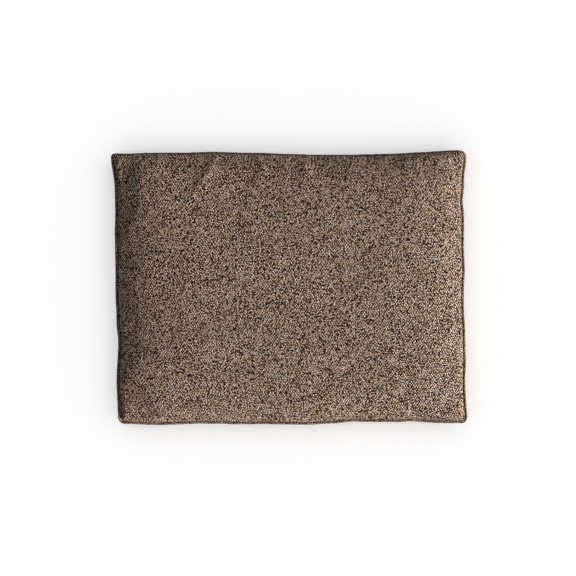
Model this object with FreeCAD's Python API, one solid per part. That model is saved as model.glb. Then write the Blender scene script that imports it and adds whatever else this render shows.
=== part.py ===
"""Pet cushion bed: a boxed, piped floor cushion with a zipped, removable cover.

Millimetres. +Z up, +X along the long side, +Y towards the zipped back side. The origin is the middle of the
underside, on the floor.

From the outside inwards the bed is:
  cover      a crowned top panel and a rolled-edge base panel, joined by an upright border. Both seams carry a piping:
             a filler cord in a fabric sleeve, whose flange is caught between panel and border.
  border     a front strip, a left and a right strip that wrap round the back corners, and between them on the back an
             upper and a lower zip strip.
  zip        two tapes, two coil rows, two top stops, a bottom stop, and a slider with its crown and pull tab.
  inner bed  a sewn ticking case with top wadding, comfort foam, core foam and base wadding.
"""
import FreeCAD, Part
import math
import os

V = FreeCAD.Vector

# ---------------------------------------------------------------- driving dimensions
LENGTH = 900.0          # over the piping, along X
DEPTH = 700.0           # over the piping, along Y
HEIGHT = 128.0          # floor to the top of the crown

PIPING_R = 3.2          # outside radius of the covered piping
FILLER_R = 2.05         # filler cord
SLEEVE_BORE_R = 2.1     # inside of the piping's fabric sleeve
FLANGE_T = 1.6          # two plies of sleeve fabric in the seam
FLANGE_IN = 2.6         # how far the flange reaches in from the border's outer face
OUTLINE_CORNER_R = 15.0 # plan corner radius over the piping

FABRIC_T = 1.8          # woven cover fabric
CASE_T = 0.8            # ticking of the inner case
CASE_GAP = 0.3          # between cover and inner case, top and bottom
CASE_SIDE_IN = 3.0      # inner case inside the border's outer face, on the front and sides
CASE_BACK_IN = 5.4      # and on the back, where the slider's inner plate runs

CROWN_R = 127.3         # edge roll of the top panel
CROWN_DEG = 45.0        # its slope at the seam
ROLL_R = 25.0           # edge roll of the base panel
ROLL_DEG = 45.0

WADDING_BASE_T = 11.0   # layers of the filling, from the bottom
CORE_T = 54.0
COMFORT_T = 32.0
LAYER_GAP = 0.2

WRAP = 42.0             # how far the side strips wrap round onto the back
ZIP_GAP = 5.3           # from the zip's centre line to each strip's folded edge
TAPE_T = 0.6
TAPE_W = 16.0           # from the centre line to the tape's outer edge
COIL_IN = 0.75          # from the centre line to the coil row
COIL_OUT = 3.1
COIL_T = 2.4
TAPE_END_PLUS = 406.0
TAPE_END_MINUS = 410.0
COIL_END_PLUS = 391.0
COIL_END_MINUS = 396.0
STOP_T = 0.7            # wall of the clamped stops

SLIDER_X = 383.7        # slider's centre with the zip closed
SLIDER_L = 13.0
SLIDER_W = 9.6
SLIDER_NOSE_W = 7.4     # narrower end, that the closed chain leaves by
PLATE_T = 1.1
RUN_GAP = 0.3           # running gap between the slider and the chain
NECK_T = 0.8            # web between the coil rows
NECK_L = 3.6

CROWN_W = 2.2           # the slider's bridge
CROWN_BAR = 1.3
CROWN_OPEN = 1.9
CROWN_L = 9.0
PULL_BAR_R = 0.7
PULL_T = 1.4
PULL_W = 8.0
PULL_L = 31.0
EYE_L = 5.8             # inner length of the pull's eye, from its bar's axis
EYE_W = 3.2
EYE_WALL = 1.5

LABEL_L = 34.0
LABEL_H = 22.0
LABEL_T = 0.5

# ---------------------------------------------------------------- derived
CORD_A = LENGTH / 2 - PIPING_R          # centre line of the piping
CORD_B = DEPTH / 2 - PIPING_R
CORD_R = OUTLINE_CORNER_R - PIPING_R
A = CORD_A - PIPING_R                   # outer face of the border
B = CORD_B - PIPING_R
R = CORD_R - PIPING_R
CROWN_RISE = CROWN_R * (1 - math.cos(math.radians(CROWN_DEG)))
CROWN_RUN = CROWN_R * math.sin(math.radians(CROWN_DEG))
ROLL_RISE = ROLL_R * (1 - math.cos(math.radians(ROLL_DEG)))
ROLL_RUN = ROLL_R * math.sin(math.radians(ROLL_DEG))
Z_TOP_EDGE = HEIGHT - CROWN_RISE        # lower edge of the top panel
Z_TOP_SEAM = Z_TOP_EDGE - FLANGE_T / 2
Z_BASE_EDGE = ROLL_RISE                 # upper edge of the base panel
Z_BASE_SEAM = Z_BASE_EDGE + FLANGE_T / 2
Z_BORDER_LO = Z_BASE_SEAM + FLANGE_T / 2
Z_BORDER_HI = Z_TOP_SEAM - FLANGE_T / 2
Z_ZIP = (Z_BORDER_LO + Z_BORDER_HI) / 2
Y_OUT = B                               # outer face of the back border
Y_IN = B - FABRIC_T
BIG = 2000.0


def solid(shape):
    """The single solid of a boolean's result, cleaned of split faces."""
    shape = shape.removeSplitter()
    found = shape.Solids
    if len(found) != 1:
        raise RuntimeError("expected one solid and got %d" % len(found))
    return found[0]


def slab(z0, z1):
    return Part.makeBox(BIG, BIG, z1 - z0, V(-BIG / 2, -BIG / 2, z0))


def block(x0, x1, y0, y1, z0, z1):
    return Part.makeBox(x1 - x0, y1 - y0, z1 - z0, V(x0, y0, z0))


def rounded_prism(a, b, r, z0, z1):
    """Upright prism with a rounded rectangle for its plan: half sizes a and b, corner radius r."""
    s = r * (1 - math.sqrt(0.5))
    lines = [
        Part.LineSegment(V(-a + r, -b, z0), V(a - r, -b, z0)),
        Part.Arc(V(a - r, -b, z0), V(a - s, -b + s, z0), V(a, -b + r, z0)),
        Part.LineSegment(V(a, -b + r, z0), V(a, b - r, z0)),
        Part.Arc(V(a, b - r, z0), V(a - s, b - s, z0), V(a - r, b, z0)),
        Part.LineSegment(V(a - r, b, z0), V(-a + r, b, z0)),
        Part.Arc(V(-a + r, b, z0), V(-a + s, b - s, z0), V(-a, b - r, z0)),
        Part.LineSegment(V(-a, b - r, z0), V(-a, -b + r, z0)),
        Part.Arc(V(-a, -b + r, z0), V(-a + s, -b + s, z0), V(-a + r, -b, z0)),
    ]
    return Part.Face(Part.Wire([e.toShape() for e in lines])).extrude(V(0, 0, z1 - z0))


def side_profile(half, inset, d):
    """Upright section of the bed as (u, z) points and arcs: half is the outer half size, inset how far the walls are
    inside it, and d how far the top and base surfaces are inside the cover's."""
    w = half - inset
    tc, bc = half - CROWN_RUN, half - ROLL_RUN
    zt = HEIGHT - CROWN_R
    tr, br = CROWN_R - d, ROLL_R - d
    top = zt + math.sqrt(tr ** 2 - (w - tc) ** 2)
    low = ROLL_R - math.sqrt(br ** 2 - (w - bc) ** 2)

    def on_top(u):
        return zt + math.sqrt(tr ** 2 - (u - tc) ** 2)

    def on_low(u):
        return ROLL_R - math.sqrt(br ** 2 - (u - bc) ** 2)

    um, ul = (tc + w) / 2, (bc + w) / 2
    return [
        ("line", (-tc, HEIGHT - d), (tc, HEIGHT - d)),
        ("arc", (tc, HEIGHT - d), (um, on_top(um)), (w, top)),
        ("line", (w, top), (w, low)),
        ("arc", (w, low), (ul, on_low(ul)), (bc, d)),
        ("line", (bc, d), (-bc, d)),
        ("arc", (-bc, d), (-ul, on_low(ul)), (-w, low)),
        ("line", (-w, low), (-w, top)),
        ("arc", (-w, top), (-um, on_top(um)), (-tc, HEIGHT - d)),
    ]


def swept(profile, along):
    """The section's prism, along Y for a section in XZ and along X for one in YZ."""
    def at(p):
        return V(p[0], -BIG / 2, p[1]) if along == "y" else V(-BIG / 2, p[0], p[1])

    edges = []
    for kind, *pts in profile:
        pts = [at(p) for p in pts]
        edges.append((Part.LineSegment(*pts) if kind == "line" else Part.Arc(*pts)).toShape())
    way = V(0, BIG, 0) if along == "y" else V(BIG, 0, 0)
    return Part.Face(Part.Wire(edges)).extrude(way)


def pillow(d, inset, back=None):
    """The whole bed's convex form, d inside the cover's top and base and inset inside its walls."""
    extra = 0.0 if back is None else back - inset
    long = swept(side_profile(A, inset, d), "y")
    deep = swept(side_profile(B - extra / 2, inset, d), "x")
    plan = rounded_prism(A - inset, B - extra / 2 - inset, R - inset, -10, HEIGHT + 10)
    made = long.common(deep).common(plan)
    made.translate(V(0, -extra / 2, 0))
    return solid(made)


def ring_of(face_at, centre_r):
    """A section carried round the piping's centre line: four straight runs and four quarter turns.
    face_at(x, y, z, across) makes the section's face at a point; across is the outward direction."""
    a, b, r = CORD_A, CORD_B, centre_r
    parts = []
    runs = [
        (V(a, -b + r, 0), V(1, 0, 0), V(0, 2 * (b - r), 0)),
        (V(a - r, b, 0), V(0, 1, 0), V(-2 * (a - r), 0, 0)),
        (V(-a, b - r, 0), V(-1, 0, 0), V(0, -2 * (b - r), 0)),
        (V(-a + r, -b, 0), V(0, -1, 0), V(2 * (a - r), 0, 0)),
    ]
    corners = [V(a - r, b - r, 0), V(-a + r, b - r, 0), V(-a + r, -b + r, 0), V(a - r, -b + r, 0)]
    starts = [V(1, 0, 0), V(0, 1, 0), V(-1, 0, 0), V(0, -1, 0)]
    for at, out, way in runs:
        parts.append(face_at(at, out).extrude(way))
    for c, out in zip(corners, starts):
        parts.append(face_at(c + out * r, out).revolve(c, V(0, 0, 1), 90))
    whole = parts[0]
    for p in parts[1:]:
        whole = whole.fuse(p)
    return whole


def cord_ring(radius, z):
    def face_at(at, out):
        along = V(0, 0, 1).cross(out)
        return Part.Face(Part.Wire([Part.makeCircle(radius, V(at.x, at.y, z), along)]))

    return solid(ring_of(face_at, CORD_R))


def piping_cover(z):
    flange = rounded_prism(A + 0.3, B + 0.3, R + 0.3, z - FLANGE_T / 2, z + FLANGE_T / 2)
    flange = flange.cut(
        rounded_prism(A - FLANGE_IN, B - FLANGE_IN, R - FLANGE_IN, z - FLANGE_T, z + FLANGE_T)
    )
    return solid(cord_ring(PIPING_R, z).fuse(flange).cut(cord_ring(SLEEVE_BORE_R, z)))


def prism_xy(points, z0, z1):
    pts = [V(x, y, z0) for x, y in points]
    return Part.Face(Part.makePolygon(pts + [pts[0]])).extrude(V(0, 0, z1 - z0))


def rounded_plate_xz(x0, x1, z0, z1, y0, y1, r):
    """Flat plate in the XZ plane with rounded corners, from y0 to y1."""
    s = r * (1 - math.sqrt(0.5))
    e = [
        Part.LineSegment(V(x0 + r, y0, z0), V(x1 - r, y0, z0)),
        Part.Arc(V(x1 - r, y0, z0), V(x1 - s, y0, z0 + s), V(x1, y0, z0 + r)),
        Part.LineSegment(V(x1, y0, z0 + r), V(x1, y0, z1 - r)),
        Part.Arc(V(x1, y0, z1 - r), V(x1 - s, y0, z1 - s), V(x1 - r, y0, z1)),
        Part.LineSegment(V(x1 - r, y0, z1), V(x0 + r, y0, z1)),
        Part.Arc(V(x0 + r, y0, z1), V(x0 + s, y0, z1 - s), V(x0, y0, z1 - r)),
        Part.LineSegment(V(x0, y0, z1 - r), V(x0, y0, z0 + r)),
        Part.Arc(V(x0, y0, z0 + r), V(x0 + s, y0, z0 + s), V(x0 + r, y0, z0)),
    ]
    return Part.Face(Part.Wire([x.toShape() for x in e])).extrude(V(0, y1 - y0, 0))


def cover(made):
    """The cover's panels, border strips and pipings."""
    shell = pillow(0, 0).cut(pillow(FABRIC_T, FABRIC_T))
    made["cover_top_panel"] = solid(shell.common(slab(Z_TOP_EDGE, HEIGHT + 5)))
    made["cover_base_panel"] = solid(shell.common(slab(-5, Z_BASE_EDGE)))
    border = shell.common(slab(Z_BORDER_LO, Z_BORDER_HI))

    e = 40.0
    front = prism_xy([(-A - e, -B - e), (A + e, -B - e), (A - e, -B + e), (-A + e, -B + e)], -5, HEIGHT)
    made["cover_border_front"] = solid(border.common(front))
    rest = border.cut(front)
    seam = A - WRAP
    made["cover_border_right"] = solid(rest.common(block(seam, A + e, -BIG / 2, BIG / 2, -5, HEIGHT)))
    made["cover_border_left"] = solid(rest.common(block(-A - e, -seam, -BIG / 2, BIG / 2, -5, HEIGHT)))
    back = rest.common(block(-seam, seam, 0, BIG / 2, -5, HEIGHT))
    made["zip_strip_upper"] = solid(back.common(slab(Z_ZIP + ZIP_GAP, HEIGHT)))
    made["zip_strip_lower"] = solid(back.common(slab(-5, Z_ZIP - ZIP_GAP)))

    made["top_piping_cover"] = piping_cover(Z_TOP_SEAM)
    made["base_piping_cover"] = piping_cover(Z_BASE_SEAM)
    made["top_piping_cord"] = cord_ring(FILLER_R, Z_TOP_SEAM)
    made["base_piping_cord"] = cord_ring(FILLER_R, Z_BASE_SEAM)
    made["care_label"] = block(
        -seam, -seam + LABEL_L, Y_OUT, Y_OUT + LABEL_T, Z_ZIP + 14.0, Z_ZIP + 14.0 + LABEL_H
    )


def zipper(made):
    """Tapes, coil rows and stops, fixed to the cover."""
    y0, y1 = Y_IN - TAPE_T, Y_IN
    for name, s in (("upper", 1), ("lower", -1)):
        lo, hi = sorted((Z_ZIP + s * COIL_IN, Z_ZIP + s * TAPE_W))
        made["zip_tape_" + name] = block(-TAPE_END_MINUS, TAPE_END_PLUS, y0, y1, lo, hi)
        lo, hi = sorted((Z_ZIP + s * COIL_IN, Z_ZIP + s * COIL_OUT))
        made["zip_coil_" + name] = block(-COIL_END_MINUS, COIL_END_PLUS, y1, y1 + COIL_T, lo, hi)
    stops = []
    for s in (1, -1):
        lo, hi = sorted((Z_ZIP + s * COIL_IN, Z_ZIP + s * (COIL_OUT + STOP_T)))
        stops.append(block(COIL_END_PLUS, COIL_END_PLUS + 4.0, y1, y1 + COIL_T + STOP_T, lo, hi))
    made["zip_top_stops"] = Part.makeCompound(stops)
    w = COIL_OUT + STOP_T
    made["zip_bottom_stop"] = block(
        -COIL_END_MINUS - 5.0, -COIL_END_MINUS, y1, y1 + COIL_T + STOP_T, Z_ZIP - w, Z_ZIP + w
    )


def slider(made):
    """Slider body, crown and pull tab, with the zip closed. The throats face +X."""
    tape_in, tape_out, coil_out = Y_IN - TAPE_T, Y_IN, Y_IN + COIL_T
    inner0, inner1 = tape_in - RUN_GAP - PLATE_T, tape_in - RUN_GAP
    outer0, outer1 = coil_out + RUN_GAP, coil_out + RUN_GAP + PLATE_T
    x0, x1 = SLIDER_X - SLIDER_L / 2, SLIDER_X + SLIDER_L / 2
    hw, nw = SLIDER_W / 2, SLIDER_NOSE_W / 2

    def plate(y0, y1):
        pts = [
            (x0, -nw + 1.2), (x0 + 1.2, -nw), (x0 + 4.5, -nw), (x0 + 7.5, -hw), (x1 - 1.6, -hw),
            (x1, -hw + 1.6), (x1, hw - 1.6), (x1 - 1.6, hw), (x0 + 7.5, hw), (x0 + 4.5, nw),
            (x0 + 1.2, nw), (x0, nw - 1.2),
        ]
        ring = [V(x, y0, Z_ZIP + z) for x, z in pts]
        return Part.Face(Part.makePolygon(ring + [ring[0]])).extrude(V(0, y1 - y0, 0))

    body = plate(inner0, inner1).fuse(plate(outer0, outer1))
    rail_in = COIL_OUT + 0.25
    for s in (1, -1):
        pts = [(x0 + 1.2, nw), (x0 + 4.5, nw), (x0 + 7.5, hw), (x1 - 1.6, hw), (x1 - 1.6, hw - 0.9),
               (x0 + 8.0, hw - 0.9), (x0 + 5.0, rail_in), (x0 + 1.2, rail_in)]
        ring = [V(x, tape_out + RUN_GAP, Z_ZIP + s * z) for x, z in pts]
        rail = Part.Face(Part.makePolygon(ring + [ring[0]])).extrude(V(0, outer0 + 0.3 - tape_out - RUN_GAP, 0))
        body = body.fuse(rail)
    neck = block(x1 - 1.4 - NECK_L, x1 - 1.4, inner0 + 0.3, outer1 - 0.3, Z_ZIP - NECK_T / 2, Z_ZIP + NECK_T / 2)
    made["zip_slider_body"] = solid(body.fuse(neck))

    c = SLIDER_X
    h0, h1 = outer1, outer1 + CROWN_OPEN + CROWN_BAR
    pts = [(c - CROWN_L / 2, h0), (c - CROWN_L / 2, h1 - 0.9), (c - CROWN_L / 2 + 0.9, h1), (c + CROWN_L / 2 - 0.9, h1),
           (c + CROWN_L / 2, h1 - 0.9), (c + CROWN_L / 2, h0), (c + CROWN_L / 2 - CROWN_BAR, h0),
           (c + CROWN_L / 2 - CROWN_BAR, h0 + CROWN_OPEN), (c - CROWN_L / 2 + CROWN_BAR, h0 + CROWN_OPEN),
           (c - CROWN_L / 2 + CROWN_BAR, h0)]
    ring = [V(x, y, Z_ZIP - CROWN_W / 2) for x, y in pts]
    made["zip_slider_crown"] = solid(Part.Face(Part.makePolygon(ring + [ring[0]])).extrude(V(0, 0, CROWN_W)))

    yc = outer1 + CROWN_OPEN / 2
    y0, y1 = yc - PULL_T / 2, yc + PULL_T / 2
    ew = EYE_W / 2
    far = c - PULL_L
    half = ew + EYE_WALL
    bar = Part.makeCylinder(PULL_BAR_R, 2 * half, V(c, yc, Z_ZIP - half), V(0, 0, 1))
    arms = [block(c - EYE_L, c, y0, y1, Z_ZIP + s * (ew + EYE_WALL / 2) - EYE_WALL / 2,
                  Z_ZIP + s * (ew + EYE_WALL / 2) + EYE_WALL / 2) for s in (1, -1)]
    tab = rounded_plate_xz(far, c - EYE_L, Z_ZIP - PULL_W / 2, Z_ZIP + PULL_W / 2, y0, y1, 2.4)
    pull = bar.fuse(arms[0]).fuse(arms[1]).fuse(tab)
    pull = pull.fuse(block(c - EYE_L - 3.0, c - EYE_L, y0, y1, Z_ZIP - half, Z_ZIP + half))
    made["zip_pull_tab"] = solid(pull)
    return yc


def inner_bed(made):
    """Ticking case and its filling."""
    d0 = FABRIC_T + CASE_GAP
    outer = pillow(d0, CASE_SIDE_IN, CASE_BACK_IN)
    hollow = pillow(d0 + CASE_T, CASE_SIDE_IN + CASE_T, CASE_BACK_IN + CASE_T)
    case = outer.cut(hollow)
    lo, hi = Z_BORDER_LO + 2.0, Z_BORDER_HI - 2.0
    made["inner_case_top"] = solid(case.common(slab(hi, HEIGHT)))
    made["inner_case_border"] = solid(case.common(slab(lo, hi)))
    made["inner_case_base"] = solid(case.common(slab(0, lo)))
    g = LAYER_GAP
    fill = pillow(d0 + CASE_T + g, CASE_SIDE_IN + CASE_T + g, CASE_BACK_IN + CASE_T + g)
    z = [d0 + CASE_T + g]
    for t in (WADDING_BASE_T, CORE_T, COMFORT_T):
        z.append(z[-1] + t)
    made["wadding_base"] = solid(fill.common(slab(0, z[1])))
    made["foam_core"] = solid(fill.common(slab(z[1] + g, z[2])))
    made["comfort_foam"] = solid(fill.common(slab(z[2] + g, z[3])))
    made["wadding_top"] = solid(fill.common(slab(z[3] + g, HEIGHT)))


def main():
    os.makedirs("parts", exist_ok=True)
    made = {}
    cover(made)
    zipper(made)
    yc = slider(made)
    inner_bed(made)
    for name, shape in sorted(made.items()):
        bb = shape.BoundBox
        if not shape.isValid():
            raise RuntimeError(name + " is not valid")
        print("%-20s solids %d  volume %12.1f  x %8.2f %8.2f  y %8.2f %8.2f  z %7.2f %7.2f" % (
            name, len(shape.Solids), shape.Volume, bb.XMin, bb.XMax, bb.YMin, bb.YMax, bb.ZMin, bb.ZMax))
        shape.exportStep("parts/" + name + ".step")
    print("Z_TOP_SEAM %.3f  Z_BASE_SEAM %.3f  Z_ZIP %.3f  pull axis x %.3f y %.3f" % (
        Z_TOP_SEAM, Z_BASE_SEAM, Z_ZIP, SLIDER_X, yc))


main()
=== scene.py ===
import math

import bpy
import numpy as np
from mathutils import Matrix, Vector


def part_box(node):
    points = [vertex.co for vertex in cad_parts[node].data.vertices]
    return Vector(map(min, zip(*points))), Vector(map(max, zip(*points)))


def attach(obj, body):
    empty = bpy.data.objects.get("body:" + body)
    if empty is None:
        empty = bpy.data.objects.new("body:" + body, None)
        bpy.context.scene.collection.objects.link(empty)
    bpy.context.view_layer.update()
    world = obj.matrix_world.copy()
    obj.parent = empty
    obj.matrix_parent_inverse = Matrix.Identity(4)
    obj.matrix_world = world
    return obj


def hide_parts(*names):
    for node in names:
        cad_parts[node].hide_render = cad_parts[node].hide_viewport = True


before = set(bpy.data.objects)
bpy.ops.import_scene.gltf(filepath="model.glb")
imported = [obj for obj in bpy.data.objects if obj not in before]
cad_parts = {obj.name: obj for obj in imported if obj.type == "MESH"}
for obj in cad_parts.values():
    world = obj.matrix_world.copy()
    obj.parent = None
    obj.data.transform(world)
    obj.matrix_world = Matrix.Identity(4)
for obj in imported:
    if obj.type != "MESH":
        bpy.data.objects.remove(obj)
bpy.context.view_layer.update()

MM = 0.001

# ------------------------------------------------------------------------------------------------------------------
# sizes, all from the CAD frame
# ------------------------------------------------------------------------------------------------------------------
_lo, _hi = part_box("top_piping_cover")
PIPE_R = (_hi.z - _lo.z) / 2
Z_TOP_SEAM = (_hi.z + _lo.z) / 2
HALF_X, HALF_Y = _hi.x, _hi.y                 # over the piping
A, B = HALF_X - 2 * PIPE_R, HALF_Y - 2 * PIPE_R   # outer face of the border, where the seams are
_lo, _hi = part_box("base_piping_cover")
Z_BASE_SEAM = (_hi.z + _lo.z) / 2
Z_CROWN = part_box("cover_top_panel")[1].z
_lo, _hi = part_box("zip_strip_upper")
SEAM_X = _hi.x                                # where the zip strips meet the side strips, on the back
Y_OUT, Y_IN = _hi.y, _lo.y
CLOTH_T = Y_OUT - Y_IN
Z_FOLD_HI = _lo.z
Z_FOLD_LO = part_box("zip_strip_lower")[1].z
Z_ZIP = (Z_FOLD_HI + Z_FOLD_LO) / 2
CORD_R = (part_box("top_piping_cord")[1].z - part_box("top_piping_cord")[0].z) / 2

# corner radii of the seam line: front left, front right, back right, back left
RADII = (0.0115, 0.0085, 0.0130, 0.0060)


# ------------------------------------------------------------------------------------------------------------------
# smooth noise that is the same on every run
# ------------------------------------------------------------------------------------------------------------------
def _hash(ix, iy, seed):
    h = (ix.astype(np.int64) * 374761393 + iy.astype(np.int64) * 668265263 + seed * 974634777) & 0xFFFFFFFF
    h = ((h ^ (h >> 13)) * 1274126177) & 0xFFFFFFFF
    return ((h ^ (h >> 16)) & 0xFFFF) / 65535.0 * 2 - 1


def noise2(x, y, seed=1):
    x, y = np.broadcast_arrays(np.asarray(x, float), np.asarray(y, float))
    ix, iy = np.floor(x), np.floor(y)
    fx, fy = x - ix, y - iy
    sx, sy = fx * fx * fx * (fx * (6 * fx - 15) + 10), fy * fy * fy * (fy * (6 * fy - 15) + 10)
    a, b = _hash(ix, iy, seed), _hash(ix + 1, iy, seed)
    c, d = _hash(ix, iy + 1, seed), _hash(ix + 1, iy + 1, seed)
    return (a * (1 - sx) + b * sx) * (1 - sy) + (c * (1 - sx) + d * sx) * sy


def step(a, b, x):
    t = np.clip((np.asarray(x, float) - a) / (b - a), 0, 1)
    return t * t * (3 - 2 * t)


# ------------------------------------------------------------------------------------------------------------------
# the bed's outline: how far the top piping stands out from its nominal rectangle, side by side, in millimetres
# ------------------------------------------------------------------------------------------------------------------
def wave(points, soft=7.0):
    xs, ys = zip(*sorted(points))
    t = np.arange(-520.0, 521.0)
    v = np.interp(t, xs, ys)
    k = np.exp(-0.5 * (np.arange(-24, 25) / soft) ** 2)
    v = np.convolve(np.pad(v, 24, "edge"), k / k.sum(), "valid")
    return lambda q: np.interp(np.asarray(q, float) / MM, t, v) * MM


OUT_LEFT = wave([
    (340, 9.0), (320, 5.9), (300, 2.4), (275, -2.0), (245, -3.2), (180, -4.2), (150, -2.7), (100, -4.1), (55, -5.0),
    (0, -4.5), (-33, -5.4), (-60, -7.2), (-95, -7.5), (-125, -11.2), (-145, -12.2), (-185, -10.2), (-220, -8.0),
    (-250, -7.3), (-280, -9.2), (-310, -10.2), (-340, -11.5)])
OUT_RIGHT = wave([
    (340, 1.4), (320, -0.2), (304, -2.2), (288, -5.2), (243, -6.4), (226, -9.8), (210, -9.2), (195, -7.0), (180, -5.6),
    (105, -6.6), (44, -3.8), (-17, -6.7), (-79, -6.0), (-95, -3.6), (-155, -2.7), (-201, -1.0), (-232, -3.6),
    (-262, -2.7), (-293, -0.9), (-323, 2.0), (-340, 2.8)])
OUT_BACK = wave([
    (-444, -4.3), (-413, -5.8), (-382, -4.6), (-337, -3.3), (-260, -3.3), (-230, -2.1), (-199, -0.8), (-168, -1.4),
    (-122, -3.3), (-61, -3.9), (-31, -5.6), (0, -6.6), (46, -7.8), (61, -9.3), (92, -10.1), (122, -10.0), (153, -8.7),
    (214, -7.2), (260, -6.1), (291, -4.6), (321, -2.6), (352, -1.3), (382, 1.0), (413, 2.8), (444, 3.2)])
OUT_FRONT = wave([
    (-444, -3.2), (-413, -3.1), (-382, -1.4), (-352, -0.3), (-306, -2.1), (-260, -3.7), (-245, -5.2), (-214, -3.3),
    (-184, -4.7), (-153, -2.4), (-76, -2.9), (-15, -2.3), (46, -1.3), (76, -3.8), (107, -5.4), (138, -7.8),
    (153, -10.6), (184, -8.5), (245, -8.8), (275, -8.3), (306, -11.0), (337, -8.0), (398, -5.4), (444, -5.2)])


# how far the top piping stands off the seam, where its flange shows: front, right, back, left
GAPS = (1.3 * MM, 1.0 * MM, 0.0, 2.2 * MM)


def warp(x, y, k=1.0):
    """A nominal plan point moved as the outline moves: k is 1 at the top seam and less below it."""
    wx = np.clip(0.5 + 0.5 * x / HALF_X, 0, 1)
    wy = np.clip(0.5 + 0.5 * y / HALF_Y, 0, 1)
    dx = (OUT_RIGHT(y) - GAPS[1]) * wx - (OUT_LEFT(y) - GAPS[3]) * (1 - wx)
    dy = (OUT_BACK(x) - GAPS[2]) * wy - (OUT_FRONT(x) - GAPS[0]) * (1 - wy)
    return x + k * dx, y + k * dy


# ------------------------------------------------------------------------------------------------------------------
# the nominal seam line: a rounded rectangle, counter-clockwise from the middle of the front left corner
# ------------------------------------------------------------------------------------------------------------------
def side_curve(side, t, a=A, b=B, radii=RADII):
    """Points on side 0 front, 1 right, 2 back or 3 left, between the middles of its two corners, t from 0 to 1."""
    corners = np.array([(-a, -b), (a, -b), (a, b), (-a, b)])
    ways = np.array([(1.0, 0.0), (0.0, 1.0), (-1.0, 0.0), (0.0, -1.0)])
    ins = np.array([(0.0, 1.0), (-1.0, 0.0), (0.0, -1.0), (1.0, 0.0)])
    p0, p1 = corners[side], corners[(side + 1) % 4]
    d, n = ways[side], ins[side]
    r0, r1 = radii[side], radii[(side + 1) % 4]
    straight = np.linalg.norm(p1 - p0) - r0 - r1
    q0, q1 = r0 * math.pi / 4, r1 * math.pi / 4
    s = np.asarray(t, float) * (q0 + straight + q1)
    phi0 = math.pi / 4 - np.clip(s, 0, q0) / r0
    phi1 = np.clip(s - q0 - straight, 0, q1) / r1
    first = (p0 + d * r0 + n * r0) + r0 * (-n * np.cos(phi0)[..., None] - d * np.sin(phi0)[..., None])
    mid = p0 + d * (r0 + s - q0)[..., None]
    last = (p1 - d * r1 + n * r1) + r1 * (-n * np.cos(phi1)[..., None] + d * np.sin(phi1)[..., None])
    return np.where((s < q0)[..., None], first, np.where((s > q0 + straight)[..., None], last, mid))


def side_length(side, a=A, b=B, radii=RADII):
    full = 2 * (a if side % 2 == 0 else b)
    r = radii[side] + radii[(side + 1) % 4]
    return full - r + r * math.pi / 4


def graded(length, fine, pitch):
    """Fractions of a length: close together at both ends, as the list of distances fine says, then evenly spaced."""
    fine = np.asarray(fine, float)
    n = max(2, round((length - 2 * fine[-1]) / pitch))
    mid = np.linspace(fine[-1], length - fine[-1], n + 1)
    return np.concatenate([fine[:-1], mid, (length - fine[:-1])[::-1]]) / length


def coons(us, vs, a=A, b=B, radii=RADII):
    """A grid over the plan whose edge is the seam line: index [i, j] for us[i], vs[j]."""
    c0, c1 = side_curve(0, us, a, b, radii), side_curve(2, 1 - us, a, b, radii)
    d0, d1 = side_curve(3, 1 - vs, a, b, radii), side_curve(1, vs, a, b, radii)
    u, v = us[:, None, None], vs[None, :, None]
    p = (1 - v) * c0[:, None] + v * c1[:, None] + (1 - u) * d0[None] + u * d1[None]
    corner = (1 - u) * (1 - v) * c0[0] + u * (1 - v) * c0[-1] + (1 - u) * v * c1[0] + u * v * c1[-1]
    return p - corner


def inside(x, y, a=A, b=B, radii=RADII):
    """Distance of a plan point in from the seam line."""
    r = np.where(x < 0, np.where(y < 0, radii[0], radii[3]), np.where(y < 0, radii[1], radii[2]))
    dx, dy = a - np.abs(x), b - np.abs(y)
    corner = r - np.hypot(np.maximum(r - dx, 0), np.maximum(r - dy, 0))
    return np.where((dx < r) & (dy < r), corner, np.minimum(dx, dy))


def loop(pitch, a=A, b=B, radii=RADII, fine_corner=0.0016):
    """The closed seam line as points, outward normals and distances round it, finer at the corners."""
    pts = []
    for side in range(4):
        length = side_length(side, a, b, radii)
        q0, q1 = radii[side] * math.pi / 4, radii[(side + 1) % 4] * math.pi / 4
        n0, n1 = max(3, round(q0 / fine_corner)), max(3, round(q1 / fine_corner))
        n = round((length - q0 - q1) / pitch)
        s = np.concatenate([np.linspace(0, q0, n0 + 1)[:-1], np.linspace(q0, length - q1, n + 1),
                            np.linspace(length - q1, length, n1 + 1)[1:-1]])
        pts.append(side_curve(side, s / length, a, b, radii))
    p = np.concatenate(pts)
    nxt, prv = np.roll(p, -1, 0), np.roll(p, 1, 0)
    tan = nxt - prv
    tan /= np.linalg.norm(tan, axis=1)[:, None]
    nrm = np.stack([tan[:, 1], -tan[:, 0]], 1)
    seg = np.linalg.norm(nxt - p, axis=1)
    s = np.concatenate([[0], np.cumsum(seg)])
    return p, nrm, s


def corner_share(x, y, reach=0.07):
    """1 at a corner of the plan, falling to 0 away from it."""
    d = np.hypot(A - np.abs(x), B - np.abs(y))
    return np.exp(-(d / reach) ** 2)


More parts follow.
